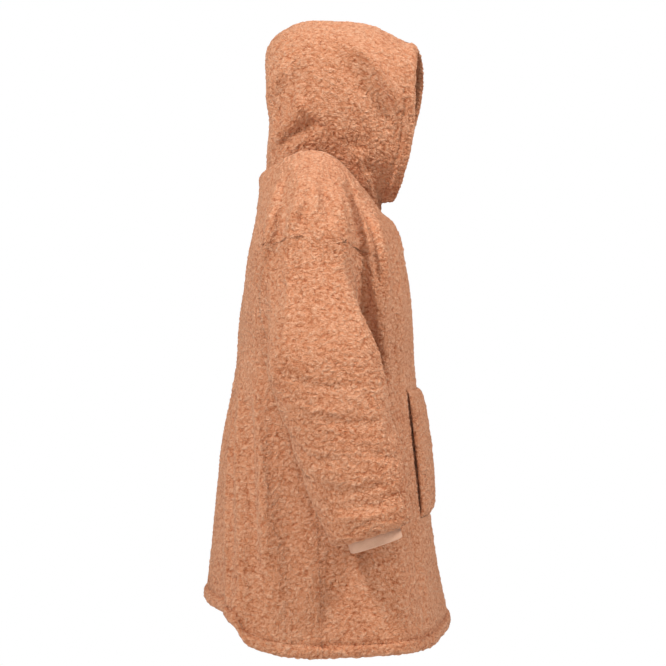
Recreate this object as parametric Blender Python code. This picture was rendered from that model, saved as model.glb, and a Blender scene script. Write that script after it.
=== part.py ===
"""An oversized hoodie in curly sherpa fleece, filled out as if worn, with nobody in it.

Metres, +Z up. The front faces -Y and the wearer's right arm is at -X.
The origin lies between the wearer's shoulders, at the base of the neck.
"""

import math
from collections import namedtuple

import bmesh
import bpy
import numpy as np

# Cloth
WALL = 0.008  # backing and pile together
CUFF_WALL = 0.003
SEAM_PULL = 0.0002  # each piece stops this far short of its seam
NECK_PULL = 0.0003  # the neck seam lies in a valley
SEWN_GAP = 0.0004  # between the pocket and the front, where they are sewn together

# Turned edges of the hem and the hood
HEM_DEPTH = 0.028
HEM_HALF_THICKNESS = 0.0075
EDGE_HALF_THICKNESS = 0.002
EDGE_ROUND = 0.009

# Shape of a level ring: 0 is an ellipse, more is squarer
RING_FULLNESS = 0.18
FRONT_DIP = 4.0
BACK_DIP = 4.0

# Rows and columns of the solids
PANEL_COLUMNS = 24
COLUMN_CROWDING = 0.9  # radians of a sine: columns lie closer towards a panel's sides
HEM_LEVELS = (0.0, 0.08, 0.25, 0.50, 0.70)
BODY_ROWS = 12
BODY_START = 1.05
ARMHOLE_STEPS = 10
SHOULDER_ROWS = 7
SLEEVE_ROWS = 12
ROLL_STEPS = 4
CUFF_ROWS = 2
HOOD_ROWS = (0, 0.7, 1.5, 2.4, 3.4, 4.4, 5.4, 6.4, 7.3, 8.0, 8.45, 8.75, 8.93, 9)

# Rows between which the panels and sleeves are cut into simpler solids: a panel at
# the pocket's foot, the underarm and the shoulder tip, a sleeve above the elbow
PANEL_CUTS = (0, 10, 17, 27, 34)
SLEEVE_CUTS = (0, 6, 16)

# Torso sections from the hem up to the neck seam. side_z, front_z and back_z are
# the heights of a ring at the sides, centre front and centre back; half_width is
# its reach in X, front_y and back_y its reach in Y, and mid_y where it is widest.
Section = namedtuple("Section", "side_z half_width front_z front_y back_z back_y mid_y")
TORSO = (
    Section(-0.922, 0.335, -0.918, -0.240, -0.856, 0.238, 0.010),
    Section(-0.882, 0.328, -0.878, -0.234, -0.818, 0.234, 0.010),
    Section(-0.808, 0.311, -0.805, -0.220, -0.750, 0.227, 0.012),
    Section(-0.730, 0.294, -0.728, -0.209, -0.680, 0.221, 0.016),
    Section(-0.650, 0.279, -0.648, -0.200, -0.608, 0.214, 0.020),
    Section(-0.570, 0.267, -0.568, -0.191, -0.535, 0.204, 0.026),
    Section(-0.485, 0.259, -0.485, -0.182, -0.460, 0.190, 0.032),
    Section(-0.402, 0.257, -0.402, -0.174, -0.388, 0.180, 0.038),
    Section(-0.305, 0.292, -0.320, -0.170, -0.312, 0.173, 0.042),
    Section(-0.225, 0.308, -0.258, -0.165, -0.250, 0.167, 0.044),
    Section(-0.160, 0.310, -0.208, -0.157, -0.196, 0.161, 0.043),
    Section(-0.108, 0.292, -0.175, -0.151, -0.150, 0.152, 0.041),
    Section(-0.066, 0.258, -0.153, -0.145, -0.113, 0.145, 0.039),
    Section(-0.029, 0.211, -0.136, -0.139, -0.080, 0.141, 0.037),
    Section(0.001, 0.165, -0.122, -0.132, -0.052, 0.139, 0.034),
    Section(0.016, 0.132, -0.110, -0.124, -0.030, 0.139, 0.031),
    Section(0.018, 0.114, -0.102, -0.115, -0.018, 0.134, 0.027),
    Section(0.017, 0.100, -0.096, -0.106, -0.014, 0.124, 0.022),
)
UNDERARM = 7
SHOULDER_TIP = 10
NECK = 17

# The armhole is an oval on the torso, this many degrees to each side
ARMHOLE_FRONT = 24.0
ARMHOLE_BACK = 34.0

# Folds of the torso. Angles are in degrees from the centre front, positive to the
# wearer's left, at the fold's low and high end; levels are rows of TORSO; width is
# in degrees; heights are in metres, and a trough's are negative.
Fold = namedtuple("Fold", "low_angle high_angle low_level high_level width low_height high_height")
TORSO_FOLDS = (
    Fold(-82, -84, 0.0, 4.0, 13, -0.030, 0.000),
    Fold(-108, -112, 0.0, 4.0, 13, 0.012, 0.004),
    Fold(-58, -60, 0.0, 4.5, 14, 0.010, 0.000),
    Fold(-128, -154, 0.0, 6.6, 9, 0.016, 0.006),
    Fold(-143, -164, 0.0, 6.6, 9, -0.014, -0.005),
    Fold(-114, -125, 3.0, 6.4, 8, 0.008, 0.006),
    Fold(-170, -174, 0.0, 6.0, 12, 0.006, 0.003),
    Fold(-24, -20, 0.0, 3.0, 12, -0.010, 0.000),
    Fold(6, 4, 0.0, 3.2, 13, 0.006, 0.000),
    Fold(30, 26, 0.0, 3.0, 12, -0.010, 0.000),
    Fold(60, 62, 0.0, 4.6, 14, 0.011, 0.000),
    Fold(84, 85, 0.0, 4.2, 13, -0.026, 0.000),
    Fold(106, 112, 0.0, 4.2, 13, 0.012, 0.004),
    Fold(131, 152, 0.0, 6.2, 9, 0.013, 0.005),
    Fold(146, 162, 0.0, 6.0, 9, -0.013, -0.004),
    Fold(-61, -65, 7.4, 12.4, 6, -0.020, -0.012),
    Fold(-71, -73, 8.0, 11.6, 6, 0.007, 0.006),
    Fold(-53, -57, 9.2, 12.4, 5, -0.007, -0.008),
    Fold(-79, -80, 11.0, 12.6, 5, -0.005, -0.004),
    Fold(-124, -122, 9.4, 12.2, 8, 0.006, 0.006),
    Fold(-112, -110, 10.4, 12.6, 6, -0.006, -0.005),
    Fold(-102, -95, 10.2, 11.8, 6, 0.004, 0.004),
    Fold(62, 66, 7.6, 12.2, 6, -0.018, -0.011),
    Fold(72, 74, 8.2, 11.4, 6, 0.006, 0.006),
    Fold(54, 56, 9.4, 12.2, 5, -0.006, -0.007),
    Fold(122, 120, 9.6, 12.2, 8, 0.006, 0.005),
    Fold(111, 108, 10.4, 12.4, 6, -0.006, -0.005),
)
FOLD_FADE_ABOVE = 0.7  # levels over which a fold dies away past its ends
FOLD_FADE_BELOW = 0.55

# Sections of the left sleeve from below the armhole to above the cuff. x, y and z
# place the middle of a section; depth is its half-width front to back, thick its
# half-width sideways, and lean how far its front edge is tipped up, in degrees.
SleeveSection = namedtuple("SleeveSection", "x y z depth thick lean")
SLEEVE = (
    SleeveSection(0.331, 0.007, -0.400, 0.102, 0.054, 10),
    SleeveSection(0.335, -0.010, -0.457, 0.100, 0.055, 14),
    SleeveSection(0.339, -0.027, -0.515, 0.097, 0.055, 16),
    SleeveSection(0.344, -0.043, -0.572, 0.093, 0.055, 17),
    SleeveSection(0.349, -0.060, -0.627, 0.087, 0.054, 18),
    SleeveSection(0.354, -0.076, -0.677, 0.080, 0.052, 18),
)
SLEEVE_BLEND = 0.45  # share of the sleeve that leads from the armhole to the first section
SLEEVE_LEAVE = 0.9  # how strongly it leaves along the shoulder's slope
UNDERARM_LEAVE = 2.2
SLEEVE_ARRIVE = 0.9
ROLL_DROP = 0.019  # the sleeve's end rolls under, this far below its last section
ROLL_TURN = 135.0

# Folds of the sleeve. turn is degrees round it, 0 outside and 90 in front; share
# runs from the armhole (0) to the lower end (1).
SleeveFold = namedtuple("SleeveFold", "turn_a share_a turn_b share_b width height")
SLEEVE_FOLDS = (
    SleeveFold(-60, 0.86, 20, 0.93, 0.035, -0.005),
    SleeveFold(-100, 0.74, -30, 0.83, 0.035, -0.005),
    SleeveFold(60, 0.70, 120, 0.62, 0.035, -0.005),
    SleeveFold(-120, 0.56, -70, 0.66, 0.040, -0.006),
    SleeveFold(120, 0.40, 160, 0.30, 0.040, -0.006),
    SleeveFold(-150, 0.42, -110, 0.36, 0.040, -0.006),
)

CUFF_DEPTH = 0.0485
CUFF_THICK = 0.029
CUFF_LENGTH = 0.024

# Hood sections, a fan about a sideways axis under the chin, from the neck seam to
# the face opening. fan is degrees above the horizontal, reach the distance to the
# centre seam, half_width the reach in X, and bow how far the sides swell forward.
HoodSection = namedtuple("HoodSection", "fan reach half_width bow")
HOOD = (
    HoodSection(20.1, 0.2652, 0.100, 0.000),
    HoodSection(30.0, 0.2860, 0.109, 0.000),
    HoodSection(39.0, 0.3140, 0.116, 0.002),
    HoodSection(47.0, 0.3660, 0.121, 0.004),
    HoodSection(54.5, 0.4230, 0.124, 0.006),
    HoodSection(64.0, 0.4320, 0.124, 0.008),
    HoodSection(74.0, 0.4080, 0.122, 0.010),
    HoodSection(84.0, 0.3850, 0.118, 0.012),
    HoodSection(92.0, 0.3580, 0.112, 0.014),
    HoodSection(100.0, 0.3370, 0.106, 0.018),
)
HOOD_AXIS_Y = -0.125
HOOD_AXIS_Z = -0.105
CHIN_REACH = 0.035
NECK_BLEND_ROWS = 6.0
TURN_BLEND_ROWS = 3.0
HOOD_TURN = -8.0  # degrees about the vertical, towards the wearer's right
HOOD_TURN_Y = 0.010
HOOD_TURN_FROM = -0.090
HOOD_TURN_HEIGHT = 0.150

# Folds of the hood. share runs along a section from the chin (0) to the centre
# seam (1), row counts HOOD's sections, and side is -1 for the wearer's right.
HoodFold = namedtuple("HoodFold", "side share_a row_a share_b row_b width height")
HOOD_FOLDS = (
    HoodFold(-1, 0.86, 2.4, 0.68, 3.8, 0.050, 0.006),
    HoodFold(-1, 0.76, 2.1, 0.64, 4.1, 0.045, -0.010),
    HoodFold(-1, 0.79, 1.2, 0.61, 3.0, 0.050, 0.008),
    HoodFold(-1, 0.70, 0.7, 0.52, 2.2, 0.045, -0.007),
    HoodFold(-1, 0.70, 6.3, 0.54, 7.5, 0.050, 0.007),
    HoodFold(-1, 0.58, 6.2, 0.42, 7.3, 0.060, -0.005),
    HoodFold(1, 0.74, 2.0, 0.62, 4.0, 0.050, -0.009),
    HoodFold(1, 0.76, 1.1, 0.60, 2.8, 0.055, 0.008),
    HoodFold(1, 0.68, 6.5, 0.52, 7.6, 0.055, 0.007),
)

# Front pouch pocket, on the front's own columns and rows
POCKET_TOP_LEVEL = 6.50
POCKET_BOTTOM_LEVEL = 3.53
POCKET_HALF_ANGLE = 35.0
POCKET_WALL = 0.008
POCKET_PUFF = 0.010
POCKET_MOUTH_PUFF = 0.015

SHERPA_COLOUR = (0.60, 0.30, 0.18)
CUFF_COLOUR = (0.52, 0.31, 0.21)
STEP = 1e-3
KEY_DIGITS = 5


def ease(share):
    share = np.clip(share, 0, 1)
    return share * share * (3 - 2 * share)


def unit(vectors):
    return vectors / np.linalg.norm(vectors, axis=-1, keepdims=True)


def points(x, y, z):
    return np.stack(np.broadcast_arrays(x, y, z), axis=-1)


def table_at(table, row):
    """The table's columns at a fractional row number, on smooth curves through its rows."""
    rows = np.array(table, float)
    row = np.clip(np.asarray(row, float), 0, len(rows) - 1)
    low = np.minimum(row.astype(int), len(rows) - 2)
    share = (row - low)[..., None]
    slope = np.gradient(rows, axis=0)
    across = rows[low + 1] - rows[low]
    bend = share * (1 - share)
    pull = bend * ((1 - share) * (slope[low] - across) - share * (slope[low + 1] - across))
    return np.moveaxis(rows[low] + across * share + pull, -1, 0)


def ring(angle):
    """(sideways, forward) reach of a slightly squared ring."""
    sideways = np.sin(angle)
    forward = np.cos(angle)
    return (
        sideways * (1 + RING_FULLNESS * forward**2),
        forward * (1 + RING_FULLNESS * sideways**2),
    )


def plain_torso(angle, level):
    side_z, half_width, front_z, front_y, back_z, back_y, mid_y = table_at(TORSO, level)
    sideways, forward = ring(angle)
    in_front = forward > 0
    y = mid_y + np.where(in_front, front_y - mid_y, mid_y - back_y) * forward
    rise = np.abs(np.sin(angle)) ** np.where(in_front, FRONT_DIP, BACK_DIP)
    z = side_z * rise + np.where(in_front, front_z, back_z) * (1 - rise)
    return points(half_width * sideways, y, z)


def torso_fold(angle, level):
    """How far the folds push the torso's cloth out, in metres."""
    push = 0.0
    for fold in TORSO_FOLDS:
        share = np.clip((level - fold.low_level) / (fold.high_level - fold.low_level), 0, 1)
        middle = np.radians(fold.low_angle + (fold.high_angle - fold.low_angle) * share)
        offset = np.arctan2(np.sin(angle - middle), np.cos(angle - middle))
        height = fold.low_height + (fold.high_height - fold.low_height) * share
        above = np.maximum(level - fold.high_level, 0) / FOLD_FADE_ABOVE
        below = np.maximum(fold.low_level - level, 0) / FOLD_FADE_BELOW
        push = push + height * np.exp(
            -(above**2) - below**2 - (offset / math.radians(fold.width)) ** 2
        )
    return push


def torso(angle, level):
    """The torso's outer face, hem to neck, with its folds."""
    angle, level = np.broadcast_arrays(np.asarray(angle, float), np.asarray(level, float))
    inside = np.clip(level, STEP, NECK - STEP)
    along = plain_torso(angle + STEP, inside) - plain_torso(angle - STEP, inside)
    up = plain_torso(angle, inside + STEP) - plain_torso(angle, inside - STEP)
    out = unit(np.cross(along, up))
    return plain_torso(angle, level) + out * torso_fold(angle, level)[..., None]


def segment_push(folds, across, along, across_scale):
    """Push of straight folds that run between two places in (across, along)."""
    push = 0.0
    for start_across, start_along, end_across, end_along, width, height in folds:
        run = np.array([(end_across - start_across) * across_scale, end_along - start_along])
        offset_across = (across - start_across) * across_scale
        offset_along = along - start_along
        share = np.clip((offset_across * run[0] + offset_along * run[1]) / (run @ run), 0, 1)
        gap = np.hypot(offset_across - share * run[0], offset_along - share * run[1])
        push = push + height * np.exp(-((gap / width) ** 2))
    return push


def armhole_edge(side, turn):
    """Points on the torso round an armhole; turn 0 is the shoulder tip, 90 degrees the front."""
    middle = (UNDERARM + SHOULDER_TIP) / 2
    level = middle + (SHOULDER_TIP - UNDERARM) / 2 * np.cos(turn)
    swing = np.sin(turn)
    spread = np.radians(np.where(swing > 0, ARMHOLE_FRONT, -ARMHOLE_BACK)) * swing
    return torso(side * (math.pi / 2 - np.where(swing > 0, spread, -spread)), level)


def armhole_leave(side, turn):
    """Direction in which the torso's face runs on into the armhole."""
    middle = (UNDERARM + SHOULDER_TIP) / 2
    half = (SHOULDER_TIP - UNDERARM) / 2
    inward = 1 - STEP * 20
    swing = np.sin(turn) * inward
    spread = np.radians(np.where(swing > 0, ARMHOLE_FRONT, -ARMHOLE_BACK)) * swing
    level = middle + half * np.cos(turn) * inward
    inside = torso(side * (math.pi / 2 - np.where(swing > 0, spread, -spread)), level)
    return unit(inside - armhole_edge(side, turn))


def sleeve_section(side, turn, row, shrink_depth=0.0, shrink_thick=0.0, drop=0.0):
    """A point round one of the sleeve's sections, drawn in and let down by the given lengths."""
    x, y, z, depth, thick, lean = table_at(SLEEVE, row)
    lean = np.radians(lean)
    outward = ring(turn + math.pi / 2)[0] * (thick - shrink_thick)
    forward = ring(turn)[0] * (depth - shrink_depth)
    return points(
        side * (x + outward),
        y - forward * np.cos(lean) - drop * np.sin(lean),
        z + forward * np.sin(lean) - drop * np.cos(lean),
    )


def sleeve(side, turn, share):
    """The sleeve's outer face: share 0 is the armhole and 1 the last section."""
    turn, share = np.broadcast_arrays(np.asarray(turn, float), np.asarray(share, float))
    last = len(SLEEVE) - 1
    row = np.maximum(share - SLEEVE_BLEND, 0) / (1 - SLEEVE_BLEND) * last
    start = armhole_edge(side, turn)
    first = sleeve_section(side, turn, 0 * row)
    onward = unit(sleeve_section(side, turn, 0 * row + STEP) - first)
    along = np.clip(share / SLEEVE_BLEND, 0, 1)[..., None]
    span = np.linalg.norm(first - start, axis=-1, keepdims=True)
    underneath = 0.5 - 0.5 * np.cos(turn)[..., None]
    leave_by = SLEEVE_LEAVE + (UNDERARM_LEAVE - SLEEVE_LEAVE) * underneath**3
    blend = (
        start * (1 + 2 * along) * (1 - along) ** 2
        + armhole_leave(side, turn) * span * leave_by * along * (1 - along) ** 2
        + first * along**2 * (3 - 2 * along)
        - onward * span * SLEEVE_ARRIVE * along**2 * (1 - along)
    )
    free = sleeve_section(side, turn, row)
    face = np.where((share < SLEEVE_BLEND)[..., None], blend, free)
    around = np.degrees(np.arctan2(np.sin(turn), np.cos(turn)))
    folds = [
        (fold.turn_a, fold.share_a, fold.turn_b, fold.share_b, fold.width, fold.height)
        for fold in SLEEVE_FOLDS
    ]
    push = segment_push(folds, around, share, 1 / 360)
    centre = points(side * table_at(SLEEVE, row)[0], *table_at(SLEEVE, row)[1:3])
    out = unit(face - centre)
    return face + out * push[..., None]


def sleeve_roll(side, turn, roll):
    """The sleeve's rolled end, roll radians past its last section."""
    last = len(SLEEVE) - 1
    end = SLEEVE[-1]
    closing = (1 - np.cos(roll)) / (1 - math.cos(math.radians(ROLL_TURN)))
    return sleeve_section(
        side,
        turn,
        last + 0 * roll,
        (end.depth - CUFF_DEPTH) * closing,
        (end.thick - CUFF_THICK) * closing,
        ROLL_DROP * np.sin(roll),
    )


def cuff(side, turn, down):
    """The cuff's outer face, down metres below its seam."""
    last = len(SLEEVE) - 1
    end = SLEEVE[-1]
    return sleeve_section(
        side,
        turn,
        last + 0 * down,
        end.depth - CUFF_DEPTH,
        end.thick - CUFF_THICK,
        ROLL_DROP * math.sin(math.radians(ROLL_TURN)) + down,
    )


def hood_section(share, row):
    fan, reach, half_width, bow = table_at(HOOD, row)
    fan = np.radians(fan)
    turn = math.pi * share
    swell = bow * np.sin(turn)
    out = CHIN_REACH + (reach - CHIN_REACH) * (1 - np.cos(turn)) / 2
    return points(
        half_width * ring(turn)[0],
        HOOD_AXIS_Y + out * np.cos(fan) - swell * np.sin(fan),
        HOOD_AXIS_Z + out * np.sin(fan) + swell * np.cos(fan),
    )


def plain_hood(side, share, row):
    """Half of the hood: share 0 is the chin, 1 the centre seam; row 0 is the neck seam."""
    share, row = np.broadcast_arrays(np.asarray(share, float), np.asarray(row, float))
    mirrored = np.array([side, 1, 1])
    neck = torso(side * math.pi * share, NECK)
    hold = (1 - ease(row / NECK_BLEND_ROWS))[..., None]
    offset = neck - hood_section(share, 0 * row) * mirrored
    face = hood_section(share, row) * mirrored + offset * hold
    turn = math.radians(HOOD_TURN) * ease(row / TURN_BLEND_ROWS)
    turn = turn * ease((face[..., 2] - HOOD_TURN_FROM) / HOOD_TURN_HEIGHT)
    x, y = face[..., 0], face[..., 1] - HOOD_TURN_Y
    return points(
        x * np.cos(turn) - y * np.sin(turn),
        HOOD_TURN_Y + x * np.sin(turn) + y * np.cos(turn),
        face[..., 2],
    )


def hood(side, share, row):
    """Half of the hood's outer face, with its folds."""
    share, row = np.broadcast_arrays(np.asarray(share, float), np.asarray(row, float))
    last = len(HOOD) - 1
    inside_row = np.clip(row, STEP, last - STEP)
    inside = np.clip(share, 0.02, 0.98)
    along = plain_hood(side, inside + STEP, inside_row) - plain_hood(side, inside - STEP, inside_row)
    up = plain_hood(side, inside, inside_row + STEP) - plain_hood(side, inside, inside_row - STEP)
    out = unit(np.cross(along, up)) * side
    folds = [
        (fold.share_a, fold.row_a / last, fold.share_b, fold.row_b / last, fold.width, fold.height)
        for fold in HOOD_FOLDS
        if fold.side == side
    ]
    push = segment_push(folds, share, row / last, 1.0)
    return plain_hood(side, share, row) + out * push[..., None]


def panel_levels():
    """Levels of the rows of the front and back, from the hem to the neck seam."""
    body = np.linspace(BODY_START, UNDERARM, BODY_ROWS, endpoint=False)
    middle = (UNDERARM + SHOULDER_TIP) / 2
    turn = np.linspace(0, math.pi, ARMHOLE_STEPS + 1)
    armhole = middle - (SHOULDER_TIP - UNDERARM) / 2 * np.cos(turn)
    shoulder = np.linspace(SHOULDER_TIP, NECK, SHOULDER_ROWS + 1)[1:]
    return np.concatenate([HEM_LEVELS, body, armhole, shoulder])


def panel_angles():
    """Places across a panel from -1 to 1, closer together towards its sides."""
    place = np.linspace(-1, 1, PANEL_COLUMNS + 1)
    return np.sin(place * COLUMN_CROWDING) / math.sin(COLUMN_CROWDING)


def panel_face(is_front):
    """Points of the front or back panel's outer face, a row for each level."""
    level = panel_levels()[:, None]
    middle = (UNDERARM + SHOULDER_TIP) / 2
    from_middle = (level - middle) / ((SHOULDER_TIP - UNDERARM) / 2)
    opening = np.sqrt(np.clip(1 - from_middle**2, 0, 1))
    spread = opening * math.radians(ARMHOLE_FRONT if is_front else ARMHOLE_BACK)
    place = panel_angles()[None, :]
    angle = place * (math.pi / 2 - spread * np.abs(place))
    return torso(angle if is_front else angle + math.pi, level)


def hood_face(side):
    half = PANEL_COLUMNS // 2
    place = panel_angles()[half:]
    share = np.concatenate([place / 2, 1 - place[::-1][1:] / 2])
    return hood(side, share[None, :], np.array(HOOD_ROWS, float)[:, None])


def sleeve_turns():
    return np.arange(2 * ARMHOLE_STEPS) * math.pi / ARMHOLE_STEPS


def sleeve_face(side):
    share = np.linspace(0, 1, SLEEVE_ROWS + 1)[:, None]
    roll = np.linspace(0, math.radians(ROLL_TURN), ROLL_STEPS + 1)[1:, None]
    turn = sleeve_turns()[None, :]
    return np.concatenate([sleeve(side, turn, share), sleeve_roll(side, turn, roll)])


def cuff_face(side):
    down = np.linspace(0, CUFF_LENGTH, CUFF_ROWS + 1)[:, None]
    return cuff(side, sleeve_turns()[None, :], down)


def cut_at(grid, cuts):
    """The parts of a grid between the given rows, each with both of its end rows."""
    return [grid[low : high + 1] for low, high in zip(cuts[:-1], cuts[1:])]


def key(point):
    return tuple(np.round(point, KEY_DIGITS) + 0.0)


def wrapped(grid, closed):
    """The grid with its first column repeated at the end if it runs all round."""
    return np.concatenate([grid, grid[:, :1]], axis=1) if closed else grid


def own_normals(grid, closed, flip):
    """Unit normals of one piece's points, from its own faces."""
    ring_grid = wrapped(grid, closed)
    across = ring_grid[1:, 1:] - ring_grid[:-1, :-1]
    other = ring_grid[:-1, 1:] - ring_grid[1:, :-1]
    face = unit(np.cross(other, across)) * (-1 if flip else 1)
    total = np.zeros_like(ring_grid)
    for rows in (slice(0, -1), slice(1, None)):
        for columns in (slice(0, -1), slice(1, None)):
            total[rows, columns] += face
    if closed:
        total[:, 0] += total[:, -1]
        total = total[:, :-1]
    return unit(total)


def shared_normals(faces):
    """Normals of every piece's points, the same on both sides of each seam."""
    own = {name: own_normals(*face) for name, face in faces.items()}
    total = {}
    for name, (grid, _, _) in faces.items():
        for point, normal in zip(grid.reshape(-1, 3), own[name].reshape(-1, 3)):
            total[key(point)] = total.get(key(point), 0) + normal
    return {
        name: unit(np.array([[total[key(point)] for point in line] for line in grid]))
        for name, (grid, _, _) in faces.items()
    }


def half_thickness(distance):
    """Half the cloth's thickness, this far from a turned and stitched edge."""
    rounded = np.sqrt(1 - (1 - np.clip(distance / EDGE_ROUND, 0, 1)) ** 2)
    rolled = EDGE_HALF_THICKNESS + (HEM_HALF_THICKNESS - EDGE_HALF_THICKNESS) * rounded
    plain = ease((distance - 0.7 * HEM_DEPTH) / (0.3 * HEM_DEPTH))
    return rolled * (1 - plain) + 0.5 * WALL * plain


def distance_from_row(grid, row):
    """Distance of each point from the grid's first (0) or last (-1) row, along its column."""
    lengths = np.linalg.norm(np.diff(grid, axis=0), axis=-1)
    start = np.zeros((1, grid.shape[1]))
    if row == 0:
        return np.concatenate([start, np.cumsum(lengths, axis=0)])
    return np.concatenate([start, np.cumsum(lengths[::-1], axis=0)])[::-1]


def seam_pull(grid, normal, closed, free_row, neck_row):
    """Moves that take a piece's seam edges back from its neighbours."""
    move = np.zeros_like(grid)
    for row, inner in ((0, 1), (-1, -2)):
        if row == free_row:
            continue
        pull = NECK_PULL if row == neck_row else SEAM_PULL
        if closed:
            along = np.roll(grid[row], -1, axis=0) - np.roll(grid[row], 1, axis=0)
        else:
            along = np.gradient(grid[row], axis=0)
        inward = unit(np.cross(normal[row], along))
        towards = np.sum(inward * (grid[inner] - grid[row]), axis=-1, keepdims=True)
        move[row] += inward * np.sign(towards) * pull
    if not closed:
        for column, inner in ((0, 1), (-1, -2)):
            along = np.gradient(grid[:, column], axis=0)
            inward = unit(np.cross(normal[:, column], along))
            inward = inward * np.sign(
                np.sum(inward * (grid[:, inner] - grid[:, column]), axis=-1, keepdims=True)
            )
            move[:, column] += inward * SEAM_PULL
    return move


def cloth_material(name, colour, roughness):
    material = bpy.data.materials.new(name)
    material.use_nodes = True
    shader = material.node_tree.nodes["Principled BSDF"]
    shader.inputs["Base Color"].default_value = (*colour, 1)
    shader.inputs["Roughness"].default_value = roughness
    shader.inputs["Metallic"].default_value = 0
    return material


def make_wall(name, outer, inner, base, closed, colour):
    """One closed piece of cloth between two grids of points.

    base holds the points that a seam's two pieces share, so that both sides of the
    seam are split into triangles the same way.
    """
    rows, columns = outer.shape[:2]
    count = rows * columns
    corners = np.arange(count).reshape(rows, columns)
    corners = np.concatenate([corners, corners[:, :1]], axis=1) if closed else corners
    triangles = []
    for row in range(rows - 1):
        for column in range(corners.shape[1] - 1):
            a, b = corners[row, column], corners[row, column + 1]
            c, d = corners[row + 1, column + 1], corners[row + 1, column]
            for one, two, three in ((a, b, c), (a, c, d)):
                triangles.append((one, two, three))
                triangles.append((three + count, two + count, one + count))
    edges = [list(corners[0]), list(corners[-1][::-1])]
    if not closed:
        edges = [[*corners[0][:-1], *corners[:-1, -1], *corners[-1][:0:-1], *corners[:0:-1, 0]]]
        edges[0].append(edges[0][0])
    keys = [key(point) for point in base.reshape(-1, 3)]
    for edge in edges:
        for one, two in zip(edge[:-1], edge[1:]):
            if keys[one] < keys[two]:
                triangles.append((two, one, two + count))
                triangles.append((one, one + count, two + count))
            else:
                triangles.append((two, one, one + count))
                triangles.append((two, one + count, two + count))
    mesh = bpy.data.meshes.new(name)
    vertices = np.concatenate([outer.reshape(-1, 3), inner.reshape(-1, 3)])
    mesh.from_pydata([tuple(point) for point in vertices], [], triangles)
    model = bmesh.new()
    model.from_mesh(mesh)
    bmesh.ops.recalc_face_normals(model, faces=model.faces)
    model.to_mesh(mesh)
    model.free()
    mesh.shade_smooth()
    mesh.set_sharp_from_angle(angle=math.radians(50))
    mesh.materials.append(colour)
    thing = bpy.data.objects.new(name, mesh)
    bpy.context.scene.collection.objects.link(thing)
    return thing


def make_pocket(front, normal, levels, colour):
    """The pouch pocket, on the points of the front below it, moved out."""
    rows = [row for row, level in enumerate(levels) if on_pocket(level)]
    angles = panel_angles() * 90
    columns = [column for column, angle in enumerate(angles) if abs(angle) < POCKET_HALF_ANGLE]
    base = front[rows[0] : rows[-1] + 1, columns[0] : columns[-1] + 1]
    out = normal[rows[0] : rows[-1] + 1, columns[0] : columns[-1] + 1]
    up = np.linspace(0, 1, len(rows))[:, None]
    across = np.abs(np.linspace(-1, 1, len(columns)))[None, :]
    puff = POCKET_PUFF + (POCKET_MOUTH_PUFF - POCKET_PUFF) * across**2
    gap = SEWN_GAP + puff * np.sin(math.pi * up) ** 0.6
    inner = base + out * gap[..., None]
    outer = base + out * (gap + POCKET_WALL)[..., None]
    make_wall("pocket", outer, inner, base, False, colour)


def on_pocket(level):
    margin = 0.1
    return POCKET_BOTTOM_LEVEL - margin < level < POCKET_TOP_LEVEL + margin


def build():
    for thing in list(bpy.data.objects):
        bpy.data.objects.remove(thing, do_unlink=True)

    # Each piece's outer face, whether it runs all round, and whether it is turned over
    front_low, front_middle, front_chest, front_top = cut_at(panel_face(True), PANEL_CUTS)
    back_low, back_middle, back_chest, back_top = cut_at(panel_face(False), PANEL_CUTS)
    right_upper, right_lower = cut_at(sleeve_face(-1), SLEEVE_CUTS)
    left_upper, left_lower = cut_at(sleeve_face(1), SLEEVE_CUTS)
    faces = {
        "front_low": (front_low, False, False),
        "front_middle": (front_middle, False, False),
        "front_chest": (front_chest, False, False),
        "front_top": (front_top, False, False),
        "back_low": (back_low, False, False),
        "back_middle": (back_middle, False, False),
        "back_chest": (back_chest, False, False),
        "back_top": (back_top, False, False),
        "sleeve_right_upper": (right_upper, True, True),
        "sleeve_right_lower": (right_lower, True, True),
        "sleeve_left_upper": (left_upper, True, False),
        "sleeve_left_lower": (left_lower, True, False),
        "cuff_right": (cuff_face(-1), True, True),
        "cuff_left": (cuff_face(1), True, False),
        "hood_right": (hood_face(-1), False, True),
        "hood_left": (hood_face(1), False, False),
    }
    free_rows = {"front_low": 0, "back_low": 0, "hood_right": -1, "hood_left": -1}
    neck_rows = {"front_top": -1, "back_top": -1, "hood_right": 0, "hood_left": 0}
    normals = shared_normals(faces)
    for name, (grid, closed, _) in faces.items():
        is_cuff = name.startswith("cuff")
        free_row = -1 if is_cuff else free_rows.get(name)
        wall = CUFF_WALL if is_cuff else WALL
        half = np.full(grid.shape[:2], 0.5 * wall)
        if name in free_rows:
            half = half_thickness(distance_from_row(grid, free_row))
        move = seam_pull(grid, normals[name], closed, free_row, neck_rows.get(name))
        middle = grid - normals[name] * 0.5 * wall + move
        outer = middle + normals[name] * half[..., None]
        inner = middle - normals[name] * half[..., None]
        material = cloth_material(
            name + "_cloth", CUFF_COLOUR if is_cuff else SHERPA_COLOUR, 0.8 if is_cuff else 0.95
        )
        make_wall(name, outer, inner, grid, closed, material)
    pocket_material = cloth_material("pocket_cloth", SHERPA_COLOUR, 0.95)
    levels = cut_at(panel_levels(), PANEL_CUTS)[1]
    make_pocket(front_middle, normals["front_middle"], levels, pocket_material)


build()
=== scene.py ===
"""Looks of the sherpa hoodie: curly pile, turned hems, knit cuffs, light and camera.

The camera stands level, square to the wearer's right side.
"""

import math
from collections import namedtuple

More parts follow.
